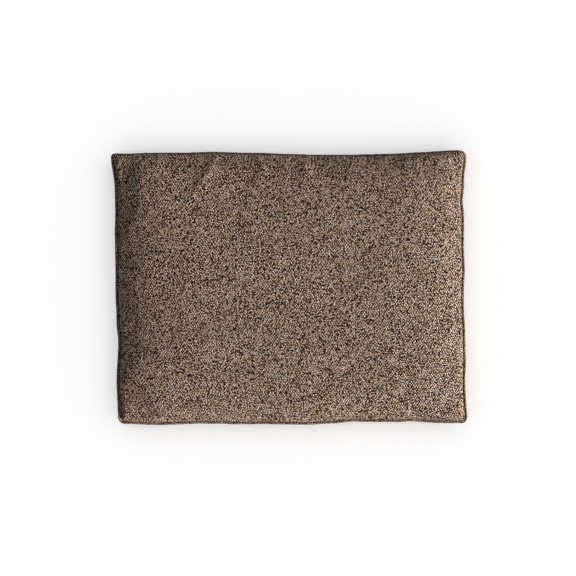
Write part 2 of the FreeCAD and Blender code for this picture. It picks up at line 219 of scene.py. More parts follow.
# ------------------------------------------------------------------------------------------------------------------
# meshes
# ------------------------------------------------------------------------------------------------------------------
def build(name, verts, faces, uv, mats, face_mat=None, smooth=True):
    """An object from arrays: faces (n, 4) or (n, 3), or a list of both kinds; uv has one row for each face corner."""
    me = bpy.data.meshes.new(name)
    sets = faces if isinstance(faces, list) else [faces]
    sets = [np.asarray(f, np.int64) for f in sets if len(f)]
    loops = np.concatenate([f.ravel() for f in sets])
    sizes = np.concatenate([np.full(len(f), f.shape[1]) for f in sets])
    me.vertices.add(len(verts))
    me.vertices.foreach_set("co", np.asarray(verts, np.float32).ravel())
    me.loops.add(len(loops))
    me.loops.foreach_set("vertex_index", loops.astype(np.int32))
    me.polygons.add(len(sizes))
    me.polygons.foreach_set("loop_start", np.concatenate([[0], np.cumsum(sizes)[:-1]]).astype(np.int32))
    if face_mat is not None:
        me.polygons.foreach_set("material_index", np.asarray(face_mat, np.int32))
    me.update(calc_edges=True)
    me.validate()
    if uv is not None:
        layer = me.uv_layers.new(name="cloth")
        layer.data.foreach_set("uv", np.asarray(uv, np.float32).ravel())
    for m in mats if isinstance(mats, (list, tuple)) else [mats]:
        me.materials.append(m)
    if smooth:
        me.polygons.foreach_set("use_smooth", np.ones(len(me.polygons), bool))
    ob = bpy.data.objects.new(name, me)
    bpy.context.scene.collection.objects.link(ob)
    return ob


def grid(n, m, wrap=False, flip=False, base=0):
    """Quads of an n by m grid of vertices, index i * m + j; wrap joins the last i to the first."""
    i, j = np.meshgrid(np.arange(n if wrap else n - 1), np.arange(m - 1), indexing="ij")
    k = (i + 1) % n
    q = np.stack([i * m + j, k * m + j, k * m + j + 1, i * m + j + 1], -1).reshape(-1, 4) + base
    return q[:, ::-1] if flip else q


def grid_uv(us, vs, wrap=False, flip=False):
    """Corner coordinates for grid(): us may be (n,) or (n, m), with one more row when it wraps."""
    us, vs = np.asarray(us, float), np.asarray(vs, float)
    if us.ndim == 1:
        us = us[:, None] + 0 * (vs if vs.ndim == 1 else vs[0])[None, :]
    if vs.ndim == 1:
        vs = vs[None, :] + 0 * us
    c = np.stack([us, vs], -1)
    q = np.stack([c[:-1, :-1], c[1:, :-1], c[1:, 1:], c[:-1, 1:]], 2).reshape(-1, 4, 2)
    return q[:, ::-1] if flip else q


def thicken(ob, t, offset=-1.0):
    m = ob.modifiers.new("cloth_thickness", "SOLIDIFY")
    m.thickness, m.offset, m.use_even_offset, m.use_rim = t, offset, False, True
    return m


def tube(name, path, radius, mats, sides=12, closed=False, twist=0.0, uv_turn=1.0, caps=True, squeeze=None):
    """A tube of quads along a 3-D path. radius may be one number or one for each point."""
    p = np.asarray(path, float)
    n = len(p)
    if closed:
        tan = np.roll(p, -1, 0) - np.roll(p, 1, 0)
    else:
        tan = np.gradient(p, axis=0)
    tan /= np.linalg.norm(tan, axis=1)[:, None]
    up = np.array([0.0, 0.0, 1.0])
    side = np.cross(tan, up)
    bad = np.linalg.norm(side, axis=1) < 1e-6
    side[bad] = (1.0, 0.0, 0.0)
    side /= np.linalg.norm(side, axis=1)[:, None]
    upn = np.cross(side, tan)
    seg = np.linalg.norm(np.roll(p, -1, 0) - p, axis=1)
    s = np.concatenate([[0], np.cumsum(seg)])[: n + 1]
    ang = np.linspace(0, 2 * math.pi, sides, endpoint=False)
    r = np.broadcast_to(np.asarray(radius, float), (n,))[:, None]
    if squeeze is not None:
        r = r * squeeze(s[:n, None], ang[None, :])
    th = ang[None, :] + (twist * s[:n])[:, None]
    v = p[:, None] + r[..., None] * (np.cos(th)[..., None] * side[:, None] + np.sin(th)[..., None] * upn[:, None])
    v = v.reshape(-1, 3)
    rows = n if closed else n - 1
    i, j = np.meshgrid(np.arange(rows), np.arange(sides), indexing="ij")
    k, l = (i + 1) % n, (j + 1) % sides
    q = np.stack([i * sides + j, i * sides + l, k * sides + l, k * sides + j], -1).reshape(-1, 4)
    rr = float(np.mean(np.asarray(radius)))
    around = np.arange(sides + 1) / sides * 2 * math.pi * rr * uv_turn
    su = s if closed else s[:n]
    uvq = np.stack([
        np.stack([su[i], around[j]], -1), np.stack([su[i], around[j + 1]], -1),
        np.stack([su[i + 1 if closed else k], around[j + 1]], -1), np.stack([su[i + 1 if closed else k], around[j]], -1),
    ], 2).reshape(-1, 4, 2)
    faces, uvs = [q], [uvq.reshape(-1, 2)]
    if caps and not closed:
        c0, c1 = len(v), len(v) + 1
        v = np.concatenate([v, p[:1], p[-1:]])
        j = np.arange(sides)
        a = np.stack([np.full(sides, c0), (j + 1) % sides, j], -1)
        b = np.stack([np.full(sides, c1), (n - 1) * sides + j, (n - 1) * sides + (j + 1) % sides], -1)
        faces.append(np.concatenate([a, b]))
        uvs.append(np.zeros((len(a) * 6, 2)))
    return build(name, v, faces, np.concatenate(uvs), mats)


# ------------------------------------------------------------------------------------------------------------------
# materials
# ------------------------------------------------------------------------------------------------------------------
class X:
    """A socket that can be added, multiplied and so on, which makes Math nodes."""

    def __init__(self, net, sock):
        self.net, self.sock = net, sock

    def __add__(self, o): return self.net.m("ADD", self, o)
    def __radd__(self, o): return self.net.m("ADD", o, self)
    def __sub__(self, o): return self.net.m("SUBTRACT", self, o)
    def __rsub__(self, o): return self.net.m("SUBTRACT", o, self)
    def __mul__(self, o): return self.net.m("MULTIPLY", self, o)
    def __rmul__(self, o): return self.net.m("MULTIPLY", o, self)
    def __truediv__(self, o): return self.net.m("DIVIDE", self, o)
    def __pow__(self, o): return self.net.m("POWER", self, o)


class Net:
    """A material and short names for its nodes."""

    def __init__(self, name, **shader):
        self.mat = bpy.data.materials.new(name)
        self.mat.use_nodes = True
        self.t = self.mat.node_tree
        self.t.nodes.clear()
        self.out = self.t.nodes.new("ShaderNodeOutputMaterial")
        self.bsdf = self.t.nodes.new("ShaderNodeBsdfPrincipled")
        self.t.links.new(self.bsdf.outputs[0], self.out.inputs["Surface"])
        self.set(**shader)

    def set(self, **shader):
        names = {"color": "Base Color", "rough": "Roughness", "metal": "Metallic", "spec": "Specular IOR Level",
                 "sheen": "Sheen Weight", "sheen_rough": "Sheen Roughness", "sheen_tint": "Sheen Tint",
                 "coat": "Coat Weight", "coat_rough": "Coat Roughness", "sub": "Subsurface Weight",
                 "sub_scale": "Subsurface Scale", "normal": "Normal", "aniso": "Anisotropic"}
        for k, v in shader.items():
            sock = self.bsdf.inputs[names[k]]
            if isinstance(v, X):
                self.t.links.new(v.sock, sock)
            else:
                sock.default_value = (*v, 1.0) if isinstance(v, tuple) and len(v) == 3 else v

    def put(self, sock, v):
        if isinstance(v, X):
            self.t.links.new(v.sock, sock)
        elif isinstance(v, tuple):
            sock.default_value = v if len(v) == len(sock.default_value) else (*v, 1.0)
        else:
            sock.default_value = v

    def m(self, op, *args, clamp=False):
        n = self.t.nodes.new("ShaderNodeMath")
        n.operation, n.use_clamp = op, clamp
        for s, a in zip(n.inputs, args):
            self.put(s, a)
        return X(self, n.outputs[0])

    def uv(self):
        n = self.t.nodes.new("ShaderNodeUVMap")
        n.uv_map = "cloth"
        return self.split(X(self, n.outputs[0]))[:2]

    def place(self):
        n = self.t.nodes.new("ShaderNodeTexCoord")
        return X(self, n.outputs["Object"])

    def split(self, v):
        n = self.t.nodes.new("ShaderNodeSeparateXYZ")
        self.put(n.inputs[0], v)
        return [X(self, o) for o in n.outputs]

    def join(self, *v):
        n = self.t.nodes.new("ShaderNodeCombineXYZ")
        for s, a in zip(n.inputs, v):
            self.put(s, a)
        return X(self, n.outputs[0])

    def rgb(self, c):
        n = self.t.nodes.new("ShaderNodeSeparateColor")
        self.put(n.inputs[0], c)
        return [X(self, o) for o in n.outputs]

    def noise(self, v, scale, detail=1.0, rough=0.5, colour=False):
        n = self.t.nodes.new("ShaderNodeTexNoise")
        self.put(n.inputs["Vector"], v)
        n.inputs["Scale"].default_value = scale
        n.inputs["Detail"].default_value = detail
        n.inputs["Roughness"].default_value = rough
        return X(self, n.outputs["Color" if colour else 0])

    def white(self, *v, colour=False):
        n = self.t.nodes.new("ShaderNodeTexWhiteNoise")
        n.noise_dimensions = "3D"
        self.put(n.inputs["Vector"], self.join(*v))
        return X(self, n.outputs["Color" if colour else "Value"])

    def ramp(self, x, stops, mode="LINEAR"):
        n = self.t.nodes.new("ShaderNodeValToRGB")
        n.color_ramp.interpolation = mode
        e = n.color_ramp.elements
        while len(e) < len(stops):
            e.new(0.5)
        for k, (at, c) in zip(e, sorted(stops)):
            k.position = at
            k.color = (*c, 1.0) if isinstance(c, tuple) else (c, c, c, 1.0)
        self.put(n.inputs[0], x)
        return X(self, n.outputs[0])

    def smooth(self, x, a, b, lo=0.0, hi=1.0):
        n = self.t.nodes.new("ShaderNodeMapRange")
        n.interpolation_type = "SMOOTHSTEP"
        for s, v in zip(n.inputs, (x, a, b, lo, hi)):
            self.put(s, v)
        return X(self, n.outputs[0])

    def mix(self, f, a, b, blend="MIX"):
        n = self.t.nodes.new("ShaderNodeMix")
        n.data_type, n.blend_type = "RGBA", blend
        self.put(n.inputs[0], f)
        self.put(n.inputs[6], a)
        self.put(n.inputs[7], b)
        return X(self, n.outputs[2])

    def pick(self, f, a, b):
        """a where f is 0 and b where it is 1, for numbers."""
        n = self.t.nodes.new("ShaderNodeMix")
        n.data_type = "FLOAT"
        self.put(n.inputs[0], f)
        self.put(n.inputs[2], a)
        self.put(n.inputs[3], b)
        return X(self, n.outputs[0])

    def scale(self, c, f):
        """Colour c times number f."""
        n = self.t.nodes.new("ShaderNodeVectorMath")
        n.operation = "SCALE"
        self.put(n.inputs[0], c)
        self.put(n.inputs[3], f)
        return X(self, n.outputs[0])

    def bump(self, h, distance, strength=1.0, then=None):
        n = self.t.nodes.new("ShaderNodeBump")
        n.inputs["Strength"].default_value = strength
        n.inputs["Distance"].default_value = distance
        self.put(n.inputs["Height"], h)
        if then is not None:
            self.put(n.inputs["Normal"], then)
        return X(self, n.outputs[0])


SPREAD, PARITY, LIGHT = 2.25, 0.60, 0.165


def melange():
    """Stops from the darkest to the lightest fibre: the red stays a step above the green, and the blue a step below."""
    out = []
    for t, g in [(0.0, 5), (0.2, 32), (0.4, 70), (0.55, 106), (0.7, 150), (0.85, 200), (1.0, 240)]:
        e = np.array([g + 4 + 16 * min(g / 30, 1), g, max(g - 14, g * 0.45)]) / 255
        e = np.where(e <= 0.04045, e / 12.92, ((e + 0.055) / 1.055) ** 2.4) * (1.48 - 0.38 * g / 240, 1.0, 0.69 + 0.20 * g / 240)
        out.append((t, tuple(float(c) for c in e)))
    return out


def tweed(name, turn=0.0, tone=1.0, warp_p=0.0031, weft_p=0.0047, wander=1.0, relief=0.0008):
    """Chunky plain weave of melange yarns. The cloth map is in metres, turn is the grain's angle on it in degrees."""
    n = Net(name, rough=0.80, spec=0.10, sheen=0.035, sheen_rough=0.45, sheen_tint=(1.0, 0.90, 0.80))
    u, v = n.uv()
    if turn:
        c, s = math.cos(math.radians(turn)), math.sin(math.radians(turn))
        u, v = u * c - v * s, u * s + v * c
    p = n.join(u, v, 0.0)
    big = n.rgb(n.noise(p, 18.0, 1.0, colour=True))
    fine = n.rgb(n.noise(p, 150.0, 1.0, colour=True))
    du = (big[0] - 0.5) * (0.0026 * wander) + (fine[0] - 0.5) * (0.0005 * wander)
    dv = (big[1] - 0.5) * (0.0026 * wander) + (fine[1] - 0.5) * (0.0007 * wander)
    gu, gv = (u + du) / warp_p, (v + dv) / weft_p
    i, j = n.m("FLOOR", gu), n.m("FLOOR", gv)
    fu, fv = gu - i, gv - j
    over = n.m("FLOORED_MODULO", i + j, 2.0)             # 1 where the warp yarn is on top
    ri, rj = n.white(i, 0.37, 5.1), n.white(j, 0.61, 9.3)
    run_i, run_j = n.m("FLOOR", gv * 0.36 + ri * 17.0), n.m("FLOOR", gu * 0.36 + rj * 17.0)
    run = n.pick(over, n.white(j, run_j, 3.9), n.white(i, run_i, 1.7))
    cell = n.rgb(n.white(i, j, 7.7, colour=True))
    # flecks of differently dyed fibre, half a stitch long, each set off from its neighbours
    rag = n.rgb(n.noise(p, 900.0, 2.0, colour=True))     # ragged ends, as loose fibres have
    ply = n.m("SINE", (fu * 3.0 + fv * 3.6 + cell[2]) * 6.2832)
    a = n.m("FLOOR", gu * 1.22 + (rag[0] - 0.5) * 0.7 + ply * 0.16)
    k = n.m("FLOOR", gv * 2.0 + (rag[1] - 0.5) * 0.7 + ply * 0.20)
    round_it = n.white(a + 1.0, k, 4.4) + n.white(a - 1.0, k, 4.4) + n.white(a, k + 1.0, 4.4) + n.white(a, k - 1.0, 4.4)
    fleck = (n.white(a, k, 4.4) - 0.5) - (round_it - 2.0) * 0.18
    tint = n.rgb(n.white(a, k, 8.8, colour=True))
    t = fleck * SPREAD + (over - 0.5) * PARITY + (run - 0.5) * 0.10 + LIGHT
    t = n.m("ADD", t, 0.0, clamp=True)
    colour = n.ramp(t, melange())
    hue = n.ramp(tint[1] * 0.5 + cell[1] * 0.5, [
        (0.0, (0.87, 0.99, 1.18)), (0.30, (0.97, 1.00, 1.06)), (0.50, (1.0, 1.0, 0.99)),
        (0.70, (1.03, 0.99, 0.93)), (1.0, (1.14, 0.98, 0.80))])
    colour = n.mix(1.0, colour, hue, "MULTIPLY")
    colour = n.mix(1.0, colour, n.ramp(tint[2], [(0.0, (1.02, 0.975, 1.02)), (1.0, (0.98, 1.025, 0.98))]), "MULTIPLY")
    slub = n.smooth(cell[2], 0.992, 0.995)
    colour = n.mix(slub * 0.60, colour, (0.74, 0.70, 0.64))
    ax, ay = n.m("ABSOLUTE", fu * 2.0 - 1.0), n.m("ABSOLUTE", fv * 2.0 - 1.0)
    across, along = n.pick(over, ay, ax), n.pick(over, ax, ay)
    h = (1.0 - across ** 2.4) * (1.0 - (along ** 3.0) * 0.62)
    strand = ply
    fuzz = n.noise(p, 1500.0, 2.0)
    # painted shade: the colour darkens towards the edges of each yarn and in the gaps between yarns, and the ply twist
    # (strand) paints lighter ridges and darker grooves along it; a fine fuzz noise mottles the tone and tone scales it
    # all
    gap = n.smooth(h, 0.0, 0.72)
    shade = (gap * 0.72 + 0.28) * (strand * 0.15 + 1.0) * ((fuzz - 0.5) * 0.4 + 1.0) * tone
    n.set(color=n.scale(colour, shade))
    height = h + strand * 0.11 + fuzz * 0.30
    n.set(normal=n.bump(height, relief, 0.85))
    return n.mat


def canvas(name, colour, pitch=0.0009, relief=0.0002, wear=0.25):
    """Tight plain weave of one colour."""
    n = Net(name, rough=0.86, spec=0.25, sheen=0.08, sheen_rough=0.5)
    u, v = n.uv()
    p = n.join(u, v, 0.0)
    w = n.noise(p, 60.0, 1.0) * 0.0012
    gu, gv = (u + w) / pitch, (v + w) / pitch
    i, j = n.m("FLOOR", gu), n.m("FLOOR", gv)
    fu, fv = n.m("ABSOLUTE", (gu - i) * 2.0 - 1.0), n.m("ABSOLUTE", (gv - j) * 2.0 - 1.0)
    over = n.m("FLOORED_MODULO", i + j, 2.0)
    h = (1.0 - n.pick(over, fv, fu) ** 2.0) * (1.0 - (n.pick(over, fu, fv) ** 2.0) * 0.5)
    yarn = n.pick(over, n.white(j, 3.0, 1.0), n.white(i, 5.0, 2.0))
    cloud = n.noise(p, 14.0, 4.0)
    # painted shade: darker towards the edge of each yarn, where the weave dips between yarns; yarn gives each yarn a
    # random tone and cloud a broad mottle
    f = (h * 0.4 + 0.68) * (yarn * 0.30 + 0.85) * ((cloud - 0.5) * wear * 2.0 + 1.0)
    n.set(color=n.scale(n.mix(0.0, colour, colour), f), normal=n.bump(h, relief, 0.8))
    return n.mat


def plain_bumpy(name, colour, rough, scale, relief, spec=0.3, var=0.1, **more):
    """Mottled matt stuff: foam, wadding, rubber."""
    n = Net(name, rough=rough, spec=spec, **more)
    p = n.place()
    a, b = n.noise(p, scale, 3.0), n.noise(p, scale * 0.08, 2.0)
    # painted shade: the fine noise a that makes the bumps also darkens the colour where they are low; the broader noise
    # b mottles the tone at random
    n.set(color=n.scale(n.mix(0.0, colour, colour), (a - 0.5) * var * 2.0 + (b - 0.5) * var * 2.0 + 1.0),
          normal=n.bump(a, relief, 0.8))
    return n.mat


def metal(name, colour, rough=0.30):
    """Plated die casting with fine scratches and duller, darker worn spots."""
    n = Net(name, metal=1.0)
    p = n.place()
    grain = n.noise(p, 900.0, 4.0)
    spots = n.noise(p, 260.0, 3.0)
    n.set(color=n.scale(n.mix(0.0, colour, colour), (spots - 0.5) * 0.35 + 1.0),
          rough=n.m("ADD", (grain - 0.5) * 0.25, (spots - 0.5) * 0.2 + rough, clamp=True),
          normal=n.bump(grain, 0.00003, 0.5))
    return n.mat


def herringbone(name, colour, rib=0.0006, band=0.0042):
    """Zip tape: bands of ribs that slant one way and then the other. It reads the object's own X and Z."""
    n = Net(name, rough=0.8, spec=0.3, sheen=0.1, sheen_rough=0.4)
    x, y, z = n.split(n.place())
    k = z / band
    way = n.m("FLOORED_MODULO", n.m("FLOOR", k), 2.0)
    slant = n.pick(way, x + z, x - z)
    f = n.m("SINE", slant * (6.2832 / rib)) * 0.5 + 0.5
    cloud = n.noise(n.place(), 90.0, 3.0)
    # painted shade: darker in the troughs between the ribs and lighter on their crests, times a cloudy random mottle
    n.set(color=n.scale(n.mix(0.0, colour, colour), (f * 0.5 + 0.72) * ((cloud - 0.5) * 0.3 + 1.0)),
          normal=n.bump(f, 0.00012, 0.8))
    return n.mat


def thread(name, colour):
    n = Net(name, rough=0.7, spec=0.3, sheen=0.1, sheen_rough=0.4)
    u, v = n.uv()
    f = n.m("SINE", (u * 1.0 + v * 0.6) * (6.2832 / 0.0007)) * 0.5 + 0.5
    # painted shade: darker in the grooves of the twist and lighter on its ridges
    n.set(color=n.scale(n.mix(0.0, colour, colour), f * 0.5 + 0.72), normal=n.bump(f, 0.0001, 0.8))
    return n.mat


TONE = 0.625
MAT_TOP = tweed("tweed_top", tone=TONE)
MAT_BORDER = tweed("tweed_border", tone=TONE)
MAT_PIPE = tweed("tweed_piping", turn=45.0, tone=TONE * 0.92, wander=0.5, warp_p=0.0026, weft_p=0.0030)
MAT_BASE = canvas("base_canvas", (0.050, 0.041, 0.035))
MAT_DOT = plain_bumpy("grip_dots", (0.150, 0.142, 0.132), 0.42, 700.0, 0.00004, spec=0.5)
MAT_TAPE = herringbone("zip_tape", (0.078, 0.060, 0.048))
MAT_COIL = plain_bumpy("zip_coil", (0.105, 0.078, 0.060), 0.38, 900.0, 0.00002, spec=0.5)
MAT_METAL = metal("zip_metal", (0.56, 0.54, 0.51))
MAT_THREAD = thread("sewing_thread", (0.125, 0.088, 0.066))
MAT_LABEL = canvas("label_satin", (0.50, 0.48, 0.44), pitch=0.00035, relief=0.00006, wear=0.08)
MAT_TICKING = canvas("ticking", (0.66, 0.64, 0.59), pitch=0.0006, relief=0.0001, wear=0.08)
MAT_FOAM = plain_bumpy("foam", (0.66, 0.60, 0.44), 0.9, 900.0, 0.0004)
MAT_WADDING = plain_bumpy("wadding", (0.80, 0.80, 0.78), 0.95, 500.0, 0.0012)
MAT_CORD = thread("filler_cord", (0.72, 0.69, 0.62))


# ------------------------------------------------------------------------------------------------------------------
# camera, first because everything is seen from it: straight above, long side across
# ------------------------------------------------------------------------------------------------------------------
PX = 2.55 * MM                                   # size of a picture's 576th at the height of the top seam
cam_data = bpy.data.cameras.new("camera")
cam_data.sensor_width, cam_data.lens = 36.0, 70.0
cam = bpy.data.objects.new("camera", cam_data)
bpy.context.scene.collection.objects.link(cam)
_half = cam_data.sensor_width / 2 / cam_data.lens
cam.location = (-0.0051, 0.0004, Z_TOP_SEAM + 576 * PX / 2 / _half)
cam.rotation_euler = (0, 0, 0)
bpy.context.scene.camera = cam

# ------------------------------------------------------------------------------------------------------------------
# top panel
# ------------------------------------------------------------------------------------------------------------------
RISE_EDGE, W_EDGE = 7.6 * MM, 12.0 * MM          # the steep roll next to the piping
# the broad crown: its slope, rise over run, at distances in from the seam in millimetres
CROWN_T = np.array([0, 19, 24, 30, 37, 45, 55, 65, 78, 96, 121, 159, 194, 235, 600.0])
CROWN_S = np.array([.440, .425, .405, .370, .320, .280, .228, .180, .148, .114, .072, .038, .014, 0, 0])
_t = np.arange(0.0, 601.0)
_s = np.interp(_t, CROWN_T, CROWN_S)
_h = np.concatenate([[0], np.cumsum((_s[1:] + _s[:-1]) / 2)])
RISE_BODY = _h[-1] * MM


def crown(x, y):
    """Height of the top panel above its seam at a nominal plan point."""
    t = np.maximum(inside(x, y), 0)
    dx, dy = np.maximum(A - np.abs(x), 0) / MM, np.maximum(B - np.abs(y), 0) / MM
    g = np.sqrt(np.clip(1 - (1 - np.clip(t / W_EDGE, 0, 1)) ** 2, 0, 1))
    fx, fy = np.interp(dx, _t, _h) / _h[-1], np.interp(dy, _t, _h) / _h[-1]
    f = fx * fy * (1 + 0.35 * (1 - fx) * (1 - fy))
    edge = RISE_EDGE * (1 - 0.30 * corner_share(x, y, 0.05))
    return edge * g + RISE_BODY * f


def undulation(x, y, t):
    """Unevenness of filled cloth: broad waves, small dents, and puckers that die out away from the seam."""
    z = 1.3 * MM * noise2(x / 0.110, y / 0.110, 3) * step(0, 0.10, t)
    z = z + 0.45 * MM * noise2(x / 0.042, y / 0.042, 5) * step(0, 0.04, t)
    z = z + 0.75 * MM * noise2(x / 0.019, y / 0.019, 8) * np.exp(-t / 0.016) * step(0, 0.004, t)
    return z


def roll_out(x, y):
    """How far the top panel's edge roll swells out over the piping: most on the back."""
    back = step(B - 0.05, B - 0.01, y)
    left = step(A - 0.05, A - 0.01, -x)
    swell = 0.9 + 2.9 * back * (0.60 + 0.40 * np.sin(x * 14.0 + 0.6)) - 0.5 * left
    return np.clip(swell, 0.3, 4.0) * MM


def blur(a, sigma, axis):
    """Gaussian blur along one axis of a field on an even grid, sigma in cells."""
    r = int(3 * sigma) + 1
    w = np.exp(-0.5 * (np.arange(-r, r + 1) / sigma) ** 2)
    w = w / w.sum()
    pad = [(0, 0)] * a.ndim
    pad[axis] = (r, r)
    b = np.pad(a, pad, mode="reflect", reflect_type="odd")     # keeps a sewn rim where it is
    size = a.shape[axis]
    return sum(w[k] * np.take(b, np.arange(k, k + size), axis=axis) for k in range(2 * r + 1))


def resample(a, us, vs, to_u, to_v):
    """Field a on (us, vs) read at (to_u, to_v)."""
    first = np.stack([np.stack([np.interp(to_u, us, a[:, j, c]) for j in range(a.shape[1])], 1)
                      for c in range(a.shape[2])], -1)
    return np.stack([np.stack([np.interp(to_v, vs, first[i, :, c]) for i in range(first.shape[0])], 0)
                     for c in range(a.shape[2])], -1)


def inflate(us, vs, verts, faces):
    """Cloth simulation of the cover: sewn down at its rim, cut a little full, and blown up against nothing but its
    own stitching. Returns how far each point moved, shape (n, m, 3)."""
    n, m = len(us), len(vs)
    scene = bpy.context.scene
    mesh = bpy.data.meshes.new("cover_try")
    mesh.from_pydata([tuple(q) for q in verts], [], faces)
    ob = bpy.data.objects.new("cover_try", mesh)
    scene.collection.objects.link(ob)
    i, j = np.divmod(np.arange(n * m), m)
    rim = np.minimum(np.minimum(i, n - 1 - i), np.minimum(j, m - 1 - j))
    pin = ob.vertex_groups.new(name="seam")
    pin.add([int(q) for q in np.nonzero(rim == 0)[0]], 1.0, "REPLACE")
    mod = ob.modifiers.new("cloth", "CLOTH")
    c = mod.settings
    c.quality = 6
    c.mass = 0.35
    c.tension_stiffness = c.compression_stiffness = 40.0
    c.shear_stiffness = 20.0
    c.bending_stiffness = 1.2
    c.tension_damping = c.compression_damping = c.shear_damping = 8.0
    c.bending_damping = 1.0
    c.air_damping = 4.0
    c.vertex_group_mass = "seam"
    c.shrink_min = -0.022
    c.use_pressure = True
    c.uniform_pressure_force = 4.0
    c.effector_weights.gravity = 0.0
    mod.collision_settings.use_collision = False
    mod.collision_settings.use_self_collision = False
    mod.point_cache.frame_start, mod.point_cache.frame_end = 1, 20
    for frame_no in range(1, 21):
        scene.frame_set(frame_no)
    done = ob.evaluated_get(bpy.context.evaluated_depsgraph_get())
    out = np.empty(n * m * 3, np.float64)
    done.data.vertices.foreach_get("co", out)
    bpy.data.objects.remove(ob)
    bpy.data.meshes.remove(mesh)
    scene.frame_set(1)
    return (out.reshape(-1, 3) - verts).reshape(n, m, 3)


FULLNESS_CAP = 3.5 * MM                          # the furthest that the simulated cloth may move a point


def fullness(to_u, to_v, surface):
    """The unevenness that the cloth simulation gives the cover, without the broad swelling, which the crown holds."""
    n, m = int(side_length(0) / (6.5 * MM)), int(side_length(1) / (6.5 * MM))
    us, vs = np.linspace(0, to_u[-1], n), np.linspace(0, to_v[-1], m)
    verts = surface(us, vs)[0].reshape(-1, 3)
    move = inflate(us, vs, verts, grid(n, m))
    move = blur(blur(move, 0.8, 0), 0.8, 1)
    broad = blur(blur(move, 6.0, 0), 6.0, 1)
    move = move - broad
    # what is the same all along a side is the crown's business as well
    i, j = n // 8, m // 8
    move = move - move[i:-i].mean(0)[None] - move[:, j:-j].mean(1)[:, None]
    far = np.linalg.norm(move, axis=-1, keepdims=True)
    print("cloth: rms %.2f mm, max %.2f mm, broad %.2f mm" % (
        float(np.sqrt((far ** 2).mean())) / MM, float(far.max()) / MM, float(np.abs(broad).max()) / MM))
    move = move * (np.tanh(far / FULLNESS_CAP) * FULLNESS_CAP / np.maximum(far, 1e-9))
    dip = np.minimum(move[..., 2], 0)              # the filling stops the cloth from going in as far as it comes out
    move[..., 2] += np.tanh(dip / (1.3 * MM)) * (1.3 * MM) - dip
    return resample(move, us, vs, to_u, to_v)


def top_surface(us, vs):
    p = coons(us, vs)
    x, y = p[..., 0], p[..., 1]
    t = np.maximum(inside(x, y), 0)
    z = Z_TOP_SEAM + crown(x, y) + undulation(x, y, t)
    # the panel leaves the seam just inside the piping, and swells out a little before it turns in
    q = t / 0.0026
    out = roll_out(x, y) * q * np.exp(1 - q) + 0.4 * MM * np.exp(-(t / 0.0006))
    cx, cy = np.clip(x, -A + 0.02, A - 0.02), np.clip(y, -B + 0.02, B - 0.02)
    nx, ny = x - cx, y - cy
    ln = np.hypot(nx, ny)
    nx, ny = nx / np.maximum(ln, 1e-9), ny / np.maximum(ln, 1e-9)
    wx, wy = warp(x, y)
    return np.stack([wx + nx * out, wy + ny * out, z], -1), t


def top_panel():
    fine = np.array([0, 0.7, 1.5, 2.4, 3.4, 4.6, 6.0, 7.8, 10.0, 12.8, 16.0, 19.6, 23.4]) * MM
    us = graded(side_length(0), fine, 4.0 * MM)
    vs = graded(side_length(1), fine, 4.0 * MM)
    verts, t = top_surface(us, vs)
    verts = (verts + fullness(us, vs, top_surface) * step(0.0015, 0.016, t)[..., None]).reshape(-1, 3)
    n, m = len(us), len(vs)
    # distance over the cloth's surface, so that the weave isn't stretched down the roll
    seg = np.linalg.norm(np.diff(verts.reshape(n, m, 3), axis=0), axis=-1)
    sx = np.concatenate([np.zeros((1, m)), np.cumsum(seg, 0)])
    sx -= sx[n // 2][None]
    seg = np.linalg.norm(np.diff(verts.reshape(n, m, 3), axis=1), axis=-1)
    sy = np.concatenate([np.zeros((n, 1)), np.cumsum(seg, 1)], 1)
    sy -= sy[:, m // 2][:, None]
    ob = build("cover_top_panel_cloth", verts, grid(n, m), grid_uv(sx, sy), MAT_TOP)
    return ob


top = top_panel()
thicken(top, CLOTH_T)
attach(top, "cushion")
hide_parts("cover_top_panel")

# ------------------------------------------------------------------------------------------------------------------
# pipings
# ------------------------------------------------------------------------------------------------------------------
K_BASE = 0.45                                    # how much of the outline's wander the base seam shares


def seam_z(x, y, level):
    """Height of a seam: level 1 is the top one, 0 the base one."""
    if level:
        return Z_TOP_SEAM + 1.1 * MM * noise2(x / 0.09, y / 0.09, 21) - 1.2 * MM * corner_share(x, y, 0.05)
    return Z_BASE_SEAM + 0.35 * MM * noise2(x / 0.08, y / 0.08, 22)


def seam_points(p, nrm, out, level):
    """Plan points of the seam line moved out by a distance and warped."""
    k = 1.0 if level else K_BASE
    wx, wy = warp(p[:, 0], p[:, 1], k)
    if not level:
        wx, wy = wx + nrm[:, 0] * -0.8 * MM, wy + nrm[:, 1] * -0.8 * MM
    return np.stack([wx + nrm[:, 0] * out, wy + nrm[:, 1] * out], 1)


